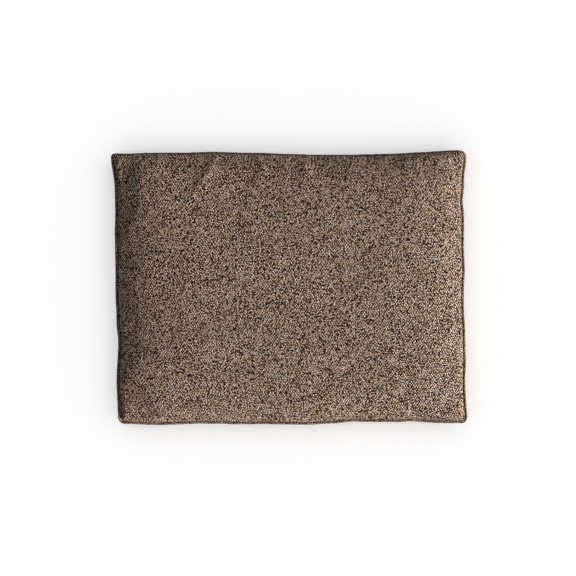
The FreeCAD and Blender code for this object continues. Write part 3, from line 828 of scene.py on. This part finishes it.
def piping(name, level, cad_cover, cad_cord):
    p, nrm, s = loop(2.6 * MM)
    x, y = p[:, 0], p[:, 1]
    out = np.full(len(p), PIPE_R)
    gap = 0 * out
    z = seam_z(x, y, level)
    if level:
        back = step(B - 0.03, B - 0.005, y)
        ways = (np.maximum(-nrm[:, 1], 0), np.maximum(nrm[:, 0], 0), np.maximum(nrm[:, 1], 0), np.maximum(-nrm[:, 0], 0))
        gap = sum(g * w ** 2 for g, w in zip(GAPS, ways))
        out = out + gap - 0.9 * MM * back
        z = z - 1.6 * MM * back
    q = seam_points(p, nrm, out, level)
    q = np.column_stack([q, z])
    lump = 1 + 0.035 * noise2(s[:-1] / 0.011, 0 * s[:-1], 31 + level)

    tail = (gap + 1.4 * MM) / PIPE_R

    def squeeze(ss, ang):
        round_it = 1 + 0.03 * noise2(ss / 0.006 + 0 * ang, np.cos(ang) * 2 + 0 * ss, 41 + level)
        return round_it + tail[:, None] * np.exp(-((ang - math.pi) / 0.30) ** 2)

    ob = tube(name, q, PIPE_R * 0.985 * lump, MAT_PIPE, sides=24, closed=True, squeeze=squeeze)
    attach(ob, "cushion")
    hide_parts(cad_cover)
    # the filler cord inside it, three strands laid together
    strand = 3
    pc = q[::2]
    core = tube(name.replace("cloth", "filler"), pc, CORD_R * 0.93, MAT_CORD, sides=12, closed=True,
                squeeze=lambda ss, ang: 1 + 0.07 * np.cos(strand * (ang + ss * 6.2832 * 57 / s[-1])))
    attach(core, "cushion")
    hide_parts(cad_cord)
    return ob


piping("top_piping_cloth", 1, "top_piping_cover", "top_piping_cord")
piping("base_piping_cloth", 0, "base_piping_cover", "base_piping_cord")


# ------------------------------------------------------------------------------------------------------------------
# border
# ------------------------------------------------------------------------------------------------------------------
def border_surface(p, nrm, s, v):
    """Outer surface of the border: p, nrm, s along the seam line (n), v from 0 at the base seam to 1 at the top (m)."""
    x, y = p[:, 0], p[:, 1]
    lo, hi = seam_points(p, nrm, 0.0, 0), seam_points(p, nrm, 0.0, 1)
    zl, zh = seam_z(x, y, 0), seam_z(x, y, 1)
    z = zl[:, None] + (zh - zl)[:, None] * v[None]
    base = lo[:, None] + (hi - lo)[:, None] * v[None, :, None]
    corner = corner_share(x, y, 0.05)[:, None]
    bulge = 4.2 * MM * np.sin(math.pi * np.clip(v, 0, 1)) ** 0.75 * (1 - 0.75 * corner)
    bulge = bulge * (1 + 0.22 * noise2(s / 0.12, 0 * s, 51)[:, None])
    h = zh - zl
    near = np.minimum(v, 1 - v)[None] * h[:, None]
    pucker = 0.8 * MM * noise2(s[:, None] / 0.013, v[None] * 1.2, 52) * np.exp(-near / 0.013) * step(0, 0.003, near)
    drape = 0.7 * MM * noise2(s[:, None] / 0.060, v[None] * 2.0, 53)
    drape = drape + 0.35 * MM * noise2(s[:, None] / 0.024, v[None] * 3.0, 54)
    out = bulge + pucker + drape * step(0, 0.012, near)
    surf = base + nrm[:, None] * out[..., None]
    # next to the zip the strips lie flat, in the plane that the slider runs along
    on_back = step(B - 0.004, B - 0.001, y)[:, None] * (1 - step(SEAM_X + 0.004, SEAM_X + 0.030, np.abs(x)))[:, None]
    flat = np.exp(-np.maximum(np.abs(z - Z_ZIP) - 0.013, 0) ** 2 / (2 * 0.010 ** 2)) * on_back
    surf[..., 1] = surf[..., 1] * (1 - flat) + Y_OUT * flat
    surf[..., 0] = surf[..., 0] * (1 - flat) + np.broadcast_to(x[:, None], flat.shape) * flat
    return np.concatenate([surf, z[..., None]], -1)


def cut_loop(pitch, start, end):
    """The part of the seam line from one distance round it to another."""
    p, nrm, s = loop(pitch)
    total = s[-1]
    ss = np.unique(np.concatenate([[start, end], s[(s > start + 0.3 * MM) & (s < end - 0.3 * MM)]]))
    if end > total:
        more = s[:-1] + total
        ss = np.unique(np.concatenate([ss, [total], more[(more > total) & (more < end - 0.3 * MM)]]))
    px = np.concatenate([p, p, p[:1]])
    nx = np.concatenate([nrm, nrm, nrm[:1]])
    sx = np.concatenate([s[:-1], s[:-1] + total, [2 * total]])
    q = np.stack([np.interp(ss, sx, px[:, k]) for k in (0, 1)], 1)
    w = np.stack([np.interp(ss, sx, nx[:, k]) for k in (0, 1)], 1)
    return q, w / np.linalg.norm(w, axis=1)[:, None], ss


def strip(name, start, end, v, tuck_ends=(True, True), fold=None, replaces=()):
    p, nrm, s = cut_loop(3.2 * MM, start, end)
    g = border_surface(p, nrm, s, v)
    n, m = len(s), len(v)
    # the ends tuck into the seams with the neighbouring strips
    d = np.full(n, 1.0)
    if tuck_ends[0]:
        d = np.minimum(d, s - s[0])
    if tuck_ends[1]:
        d = np.minimum(d, s[-1] - s)
    tuck = 1.5 * MM * np.exp(-(d / 0.0022) ** 2)
    g[..., :2] -= nrm[:, None] * tuck[:, None, None]
    if fold:
        # the folded edge next to the zip turns in round a small radius
        e = np.abs(g[..., 2] - (Z_FOLD_HI if fold > 0 else Z_FOLD_LO))
        g[..., 1] -= 1.0 * MM * np.clip(1 - e / 0.0018, 0, 1) ** 2
    seg = np.linalg.norm(np.diff(g, axis=1), axis=-1)
    sv = np.concatenate([np.zeros((n, 1)), np.cumsum(seg, 1)], 1)
    su = np.repeat(s[:, None], m, 1)
    ob = build(name, g.reshape(-1, 3), grid(n, m), grid_uv(su, sv), MAT_BORDER)
    thicken(ob, CLOTH_T)
    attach(ob, "cushion")
    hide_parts(*replaces)
    return ob


LENGTHS = [side_length(k) for k in range(4)]
S_BR, S_TR, S_TL = LENGTHS[0], LENGTHS[0] + LENGTHS[1], sum(LENGTHS[:3])
TOTAL = sum(LENGTHS)


def s_on_back(x):
    """Distance round the seam line of the point at x on the back side."""
    r = RADII[2]
    return S_TR + r * math.pi / 4 + (A - r - x)


v_all = np.concatenate([np.array([0, 0.012, 0.028, 0.05, 0.08, 0.12]), np.linspace(0.17, 0.83, 15),
                        1 - np.array([0.12, 0.08, 0.05, 0.028, 0.012, 0])])
strip("cover_border_front_cloth", 0.0, S_BR, v_all, replaces=["cover_border_front"])
strip("cover_border_right_cloth", S_BR, s_on_back(SEAM_X), v_all, replaces=["cover_border_right"])
strip("cover_border_left_cloth", s_on_back(-SEAM_X), TOTAL, v_all, replaces=["cover_border_left"])


def zip_strip(name, upper, replaces):
    p, nrm, s = cut_loop(3.2 * MM, s_on_back(SEAM_X), s_on_back(-SEAM_X))
    m = 17
    t = np.concatenate([[0, 0.02, 0.05, 0.09, 0.14], np.linspace(0.2, 0.86, 8), [0.92, 0.96, 0.985, 1.0]])
    x, y = p[:, 0], p[:, 1]
    zl, zh = seam_z(x, y, 0), seam_z(x, y, 1)
    rows = []
    for k in range(len(p)):
        if upper:
            z = Z_FOLD_HI + (zh[k] - Z_FOLD_HI) * t
        else:
            z = zl[k] + (Z_FOLD_LO - zl[k]) * (1 - t[::-1])
        rows.append((z - zl[k]) / (zh[k] - zl[k]))
    v = np.array(rows)
    g = np.stack([border_surface(p[k:k + 1], nrm[k:k + 1], s[k:k + 1], v[k])[0] for k in range(len(p))])
    n, m = len(s), g.shape[1]
    d = np.minimum(s - s[0], s[-1] - s)
    g[..., 1] -= (1.5 * MM * np.exp(-(d / 0.0022) ** 2))[:, None]
    e = np.abs(g[..., 2] - (Z_FOLD_HI if upper else Z_FOLD_LO))
    g[..., 1] -= 0.9 * MM * np.clip(1 - e / 0.0016, 0, 1) ** 2
    # the topstitch line draws the cloth in a little
    line = np.abs(g[..., 2] - (Z_FOLD_HI + 6.5 * MM if upper else Z_FOLD_LO - 6.5 * MM))
    g[..., 1] -= 0.35 * MM * np.exp(-(line / 0.0012) ** 2)
    seg = np.linalg.norm(np.diff(g, axis=1), axis=-1)
    sv = np.concatenate([np.zeros((n, 1)), np.cumsum(seg, 1)], 1) + (0.05 if upper else 0.0)
    ob = build(name, g.reshape(-1, 3), grid(n, m), grid_uv(np.repeat(s[:, None], m, 1), sv), MAT_BORDER)
    thicken(ob, CLOTH_T)
    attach(ob, "cushion")
    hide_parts(*replaces)
    return ob


zip_strip("zip_strip_upper_cloth", True, ["zip_strip_upper"])
zip_strip("zip_strip_lower_cloth", False, ["zip_strip_lower"])


# ------------------------------------------------------------------------------------------------------------------
# base panel and its grip dots
# ------------------------------------------------------------------------------------------------------------------
BASE_LIFT = 0.5 * MM


def base_panel():
    fine = np.array([0, 1.2, 2.6, 4.4, 6.6, 9.4, 13.0, 17.5, 23.0]) * MM
    us, vs = graded(side_length(0), fine, 9.0 * MM), graded(side_length(1), fine, 9.0 * MM)
    p = coons(us, vs)
    x, y = p[..., 0], p[..., 1]
    t = np.maximum(inside(x, y), 0)
    rise = (seam_z(x, y, 0) - BASE_LIFT) * (1 - np.sqrt(np.clip(1 - (1 - np.clip(t / 0.020, 0, 1)) ** 2, 0, 1)))
    z = BASE_LIFT + rise + 0.25 * MM * np.abs(noise2(x / 0.02, y / 0.02, 61)) * np.exp(-t / 0.02)
    wx, wy = warp(x, y, K_BASE)
    wx, wy = wx - np.sign(x) * 0.8 * MM * step(A - 0.03, A, np.abs(x)), wy - np.sign(y) * 0.8 * MM * step(B - 0.03, B, np.abs(y))
    n, m = len(us), len(vs)
    ob = build("cover_base_panel_cloth", np.stack([wx, wy, z], -1).reshape(-1, 3), grid(n, m, flip=True),
               grid_uv(x, y, flip=True), MAT_BASE)
    thicken(ob, CLOTH_T)
    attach(ob, "cushion")
    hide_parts("cover_base_panel")


def grip_dots():
    pitch, r, k = 24.0 * MM, 2.4 * MM, 12
    rings = [(1.0, BASE_LIFT + 0.10 * MM), (0.93, 0.22 * MM), (0.72, 0.06 * MM), (0.40, 0.0)]
    cs = []
    nx, ny = int((A - 0.03) / pitch), int((B - 0.03) / (pitch * 0.866))
    for j in range(-ny, ny + 1):
        for i in range(-nx - 1, nx + 1):
            x = (i + (0.5 if j % 2 else 0.0) + 0.25) * pitch
            y = j * pitch * 0.866
            if abs(x) < A - 0.032 and abs(y) < B - 0.032:
                cs.append((x, y))
    cs = np.array(cs)
    cx, cy = warp(cs[:, 0], cs[:, 1], K_BASE)
    ang = np.arange(k) * 2 * math.pi / k
    one = np.concatenate([[(r * f * math.cos(a), r * f * math.sin(a), z) for a in ang] for f, z in rings] + [[(0, 0, 0.0)]])
    i, j = np.meshgrid(np.arange(len(rings) - 1), np.arange(k), indexing="ij")
    l = (j + 1) % k
    q = np.stack([i * k + j, (i + 1) * k + j, (i + 1) * k + l, i * k + l], -1).reshape(-1, 4)
    e = (len(rings) - 1) * k
    c = np.arange(k)
    t = np.stack([e + c, np.full(k, e + k), e + (c + 1) % k], -1)
    nv = len(one)
    verts = (one[None] + np.stack([cx, cy, 0 * cx], -1)[:, None]).reshape(-1, 3)
    off = (np.arange(len(cs)) * nv)[:, None, None]
    quads, tris = (q[None] + off).reshape(-1, 4), (t[None] + off).reshape(-1, 3)
    uv = np.concatenate([verts[quads.ravel(), :2], verts[tris.ravel(), :2]])
    ob = build("base_grip_dots", verts, [quads, tris], uv, MAT_DOT)
    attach(ob, "cushion")


base_panel()
grip_dots()


# ------------------------------------------------------------------------------------------------------------------
# zip
# ------------------------------------------------------------------------------------------------------------------
def capsules(name, paths, radius, mat, sides=6):
    """Many short bent capsules as one mesh: paths is (count, points, 3), radius is (points,)."""
    c, k, _ = paths.shape
    tan = np.gradient(paths, axis=1)
    tan /= np.linalg.norm(tan, axis=2)[..., None]
    ref = np.array([1.0, 0.13, 0.0]) / math.hypot(1.0, 0.13)
    a = np.cross(tan, ref)
    short = np.linalg.norm(a, axis=2) < 1e-3
    a[short] = (0, 0, 1)
    a /= np.linalg.norm(a, axis=2)[..., None]
    b = np.cross(tan, a)
    ang = np.arange(sides) * 2 * math.pi / sides
    r = np.asarray(radius)[None, :, None, None]
    ring = paths[:, :, None] + r * (np.cos(ang)[None, None, :, None] * a[:, :, None] + np.sin(ang)[None, None, :, None] * b[:, :, None])
    tip0 = paths[:, 0] - tan[:, 0] * radius[0] * 0.6
    tip1 = paths[:, -1] + tan[:, -1] * radius[-1] * 0.6
    verts = np.concatenate([ring.reshape(c, -1, 3), tip0[:, None], tip1[:, None]], 1)
    nv = verts.shape[1]
    i, j = np.meshgrid(np.arange(k - 1), np.arange(sides), indexing="ij")
    l = (j + 1) % sides
    q = np.stack([i * sides + j, i * sides + l, (i + 1) * sides + l, (i + 1) * sides + j], -1).reshape(-1, 4)
    j = np.arange(sides)
    t = np.concatenate([
        np.stack([np.full(sides, k * sides), (j + 1) % sides, j], -1),
        np.stack([np.full(sides, k * sides + 1), (k - 1) * sides + j, (k - 1) * sides + (j + 1) % sides], -1)])
    off = (np.arange(c) * nv)[:, None, None]
    quads, tris = (q[None] + off).reshape(-1, 4), (t[None] + off).reshape(-1, 3)
    v = verts.reshape(-1, 3)
    uv = np.concatenate([v[quads.ravel()][:, [0, 2]], v[tris.ravel()][:, [0, 2]]])
    return build(name, v, [quads, tris], uv, mat)


def coil(name, upper, cad):
    lo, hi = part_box(cad)
    s = 1 if upper else -1
    pitch = 1.7 * MM
    n = int((hi.x - lo.x) / pitch)
    x0 = lo.x + pitch * (0.30 if upper else 0.80)
    y = lo.y
    # (z from the centre line, y above the tape, share of a pitch along)
    prof = np.array([(2.75, 0.42, 0.00), (3.02, 0.95, 0.03), (2.85, 1.60, 0.08), (2.20, 1.93, 0.14), (1.20, 1.97, 0.24),
                     (0.35, 1.90, 0.33), (-0.12, 1.50, 0.38), (-0.05, 0.95, 0.42), (0.45, 0.62, 0.46)])
    xs = x0 + np.arange(n) * pitch
    xs = xs[xs < hi.x - 0.5 * pitch]
    path = np.zeros((len(xs), len(prof), 3))
    path[..., 0] = xs[:, None] + prof[None, :, 2] * pitch
    path[..., 1] = y + prof[None, :, 1] * MM
    path[..., 2] = Z_ZIP + s * prof[None, :, 0] * MM
    r = np.array([0.34, 0.38, 0.40, 0.40, 0.41, 0.46, 0.50, 0.46, 0.34]) * MM
    ob = capsules(name, path, r, MAT_COIL)
    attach(ob, "cushion")
    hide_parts(cad)


coil("zip_coil_upper_teeth", True, "zip_coil_upper")
coil("zip_coil_lower_teeth", False, "zip_coil_lower")


def stitches(name, z, length=3.4 * MM, pitch=4.3 * MM, y=None, x0=-SEAM_X + 0.004, x1=SEAM_X - 0.004):
    n = int((x1 - x0) / pitch)
    xs = x0 + (np.arange(n) + 0.5) * pitch
    t = np.linspace(-1, 1, 7)
    path = np.zeros((n, len(t), 3))
    path[..., 0] = xs[:, None] + t[None] * length / 2
    path[..., 1] = (y or Y_OUT) + (-0.28 + 0.38 * (1 - t ** 4))[None] * MM
    path[..., 2] = z + (0.12 * t)[None] * MM
    ob = capsules(name, path, np.array([0.20, 0.28, 0.30, 0.31, 0.30, 0.28, 0.20]) * MM, MAT_THREAD, sides=8)
    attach(ob, "cushion")
    return ob


stitches("zip_topstitch_upper", Z_FOLD_HI + 6.5 * MM)
stitches("zip_topstitch_lower", Z_FOLD_LO - 6.5 * MM)

for node, mat in [("zip_tape_upper", MAT_TAPE), ("zip_tape_lower", MAT_TAPE), ("zip_top_stops", MAT_METAL),
                  ("zip_bottom_stop", MAT_METAL), ("zip_slider_body", MAT_METAL), ("zip_slider_crown", MAT_METAL),
                  ("zip_pull_tab", MAT_METAL)]:
    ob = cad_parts[node]
    ob.data.materials.clear()
    ob.data.materials.append(mat)
    if mat is MAT_METAL:
        b = ob.modifiers.new("edges", "BEVEL")
        b.width, b.segments, b.limit_method, b.angle_limit = 0.22 * MM, 2, "ANGLE", math.radians(35)
        b.harden_normals = False


# ------------------------------------------------------------------------------------------------------------------
# care label: a blank folded tape in the seam beside the zip
# ------------------------------------------------------------------------------------------------------------------

def care_label():
    lo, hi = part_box("care_label")
    n, m = 24, 14
    u, w = np.linspace(0, 1, n), np.linspace(0, 1, m)
    U, W = np.meshgrid(u, w, indexing="ij")
    x = lo.x + (hi.x - lo.x) * U
    z = lo.z + (hi.z - lo.z) * W
    y = Y_OUT + 0.45 * MM + 2.6 * MM * U ** 2.2 + 0.5 * MM * np.sin(W * 3.1 + 0.4) * U
    ob = build("care_label_tape", np.stack([x, y, z], -1).reshape(-1, 3), grid(n, m, flip=True),
               grid_uv(x, z, flip=True), MAT_LABEL)
    thicken(ob, 0.4 * MM, 0.0)
    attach(ob, "cushion")
    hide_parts("care_label")


care_label()


# ------------------------------------------------------------------------------------------------------------------
# inner cushion: closed forms inside the cover
# ------------------------------------------------------------------------------------------------------------------
def block(name, inset, z_low, z_high, mat, replaces, pitch=22 * MM, soft=6 * MM):
    """A closed form over the plan, inset from the cover's walls. z_low and z_high are numbers or functions of the plan."""
    a, b = A - inset, B - inset
    radii = (0.010,) * 4
    fine = np.array([0, 3, 8, 15]) * MM
    us = graded(side_length(0, a, b, radii), fine, pitch)
    vs = graded(side_length(1, a, b, radii), fine, pitch)
    p = coons(us, vs, a, b, radii)
    x, y = p[..., 0], p[..., 1]
    t = np.maximum(inside(x, y, a, b, radii), 0)
    lo = z_low(x, y) if callable(z_low) else np.full_like(x, z_low)
    hi = z_high(x, y) if callable(z_high) else np.full_like(x, z_high)
    ease = soft * (1 - np.sqrt(np.clip(1 - (1 - np.clip(t / soft, 0, 1)) ** 2, 0, 1)))
    room = np.maximum(hi - lo, 2 * MM)
    ease = np.minimum(ease, room * 0.45)
    top_z, low_z = hi - ease, lo + ease

    def at(z):
        k = K_BASE + (1 - K_BASE) * np.clip((z - Z_BASE_SEAM) / (Z_TOP_SEAM - Z_BASE_SEAM), 0, 1)
        wx, wy = warp(x, y, k)
        wy = np.minimum(wy, Y_IN - 3.6 * MM - (inset - 6 * MM))
        return np.stack([wx, wy, z], -1)

    n, m = len(us), len(vs)
    top_v, low_v = at(top_z), at(low_z)
    border = np.concatenate([np.arange(n) * m, (n - 1) * m + np.arange(1, m), np.arange(n - 2, -1, -1) * m + m - 1,
                             np.arange(m - 2, 0, -1)])
    count = n * m
    nxt = np.roll(border, -1)
    wall = np.stack([border + count, nxt + count, nxt, border], -1)
    faces = np.concatenate([grid(n, m), grid(n, m, flip=True, base=count), wall])
    verts = np.concatenate([top_v.reshape(-1, 3), low_v.reshape(-1, 3)])
    uv = verts[faces.ravel()][:, :2].copy()
    uv[-len(wall) * 4:, 1] += verts[wall.ravel(), 2]
    ob = build(name, verts, faces, uv, mat)
    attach(ob, "cushion")
    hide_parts(*replaces)
    return ob


def under_crown(drop):
    return lambda x, y: Z_TOP_SEAM + np.minimum(crown(x, y), 60 * MM) - drop


_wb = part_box("wadding_base")[1].z
_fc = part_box("foam_core")[1].z
_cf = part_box("comfort_foam")[1].z
block("inner_case_ticking", 6 * MM, 3.2 * MM, under_crown(5 * MM), MAT_TICKING,
      ["inner_case_top", "inner_case_border", "inner_case_base"])
block("wadding_base_layer", 9 * MM, 4.4 * MM, _wb, MAT_WADDING, ["wadding_base"], soft=4 * MM)
block("foam_core_block", 9 * MM, _wb + 0.3 * MM, _fc, MAT_FOAM, ["foam_core"], soft=3 * MM)
block("comfort_foam_layer", 10 * MM, _fc + 0.3 * MM, lambda x, y: np.minimum(_cf, under_crown(9 * MM)(x, y)), MAT_FOAM,
      ["comfort_foam"], soft=3 * MM)
block("wadding_top_layer", 11 * MM, lambda x, y: np.minimum(_cf, under_crown(9 * MM)(x, y)) + 0.3 * MM,
      under_crown(6.4 * MM), MAT_WADDING, ["wadding_top"], soft=2 * MM)

# ------------------------------------------------------------------------------------------------------------------
# floor and light
# ------------------------------------------------------------------------------------------------------------------
floor = build("floor", np.array([(-9, -9, 0), (9, -9, 0), (9, 9, 0), (-9, 9, 0)], float), np.array([[0, 1, 2, 3]]), None,
              bpy.data.materials.new("floor_white"))
fm = floor.data.materials[0]
fm.use_nodes = True
ft = fm.node_tree
ft.nodes.clear()
fo = ft.nodes.new("ShaderNodeOutputMaterial")
fd = ft.nodes.new("ShaderNodeBsdfDiffuse")
fd.inputs["Color"].default_value = (0.95, 0.95, 0.95, 1)
fe = ft.nodes.new("ShaderNodeEmission")
fe.inputs["Color"].default_value = (1, 1, 1, 1)
fe.inputs["Strength"].default_value = 0.174
fa = ft.nodes.new("ShaderNodeAddShader")
ft.links.new(fd.outputs[0], fa.inputs[0])
ft.links.new(fe.outputs[0], fa.inputs[1])
ft.links.new(fa.outputs[0], fo.inputs["Surface"])
floor.location.z = -0.0001

world = bpy.data.worlds.new("studio")
bpy.context.scene.world = world
world.use_nodes = True
bg = world.node_tree.nodes["Background"]
bg.inputs["Color"].default_value = (1.0, 1.0, 1.0, 1)
bg.inputs["Strength"].default_value = 0.33


def area(name, at, look, size, watts, colour=(1, 1, 1)):
    d = bpy.data.lights.new(name, "AREA")
    d.shape, d.size, d.size_y, d.energy, d.color = "RECTANGLE", size[0], size[1], watts, colour
    o = bpy.data.objects.new(name, d)
    o.location = at
    way = Vector(look) - Vector(at)
    o.rotation_euler = way.to_track_quat("-Z", "Y").to_euler()
    bpy.context.scene.collection.objects.link(o)
    return o


def only(light, ob, state):
    """Makes a light skip an object, or light it alone."""
    c = bpy.data.collections.new(light.name + "_link")
    c.objects.link(ob)
    light.light_linking.receiver_collection = c
    c.collection_objects[0].light_linking.link_state = state


def at(azimuth, elevation, r):
    a, e = math.radians(azimuth), math.radians(elevation)
    return (r * math.cos(a) * math.cos(e), r * math.sin(a) * math.cos(e), r * math.sin(e))


# a low key from the right for the cloth, and a broad, higher and weaker one from the same side for the floor
key = area("key", at(-21, 19, 16.0), (0, 0, 0.10), (6.0, 6.0), 7310)
only(key, floor, "EXCLUDE")
soft = area("soft_key", at(-36, 86, 14.0), (0, 0, 0.0), (20.0, 20.0), 1730)
only(soft, floor, "INCLUDE")

bpy.context.scene.view_settings.view_transform = "Standard"
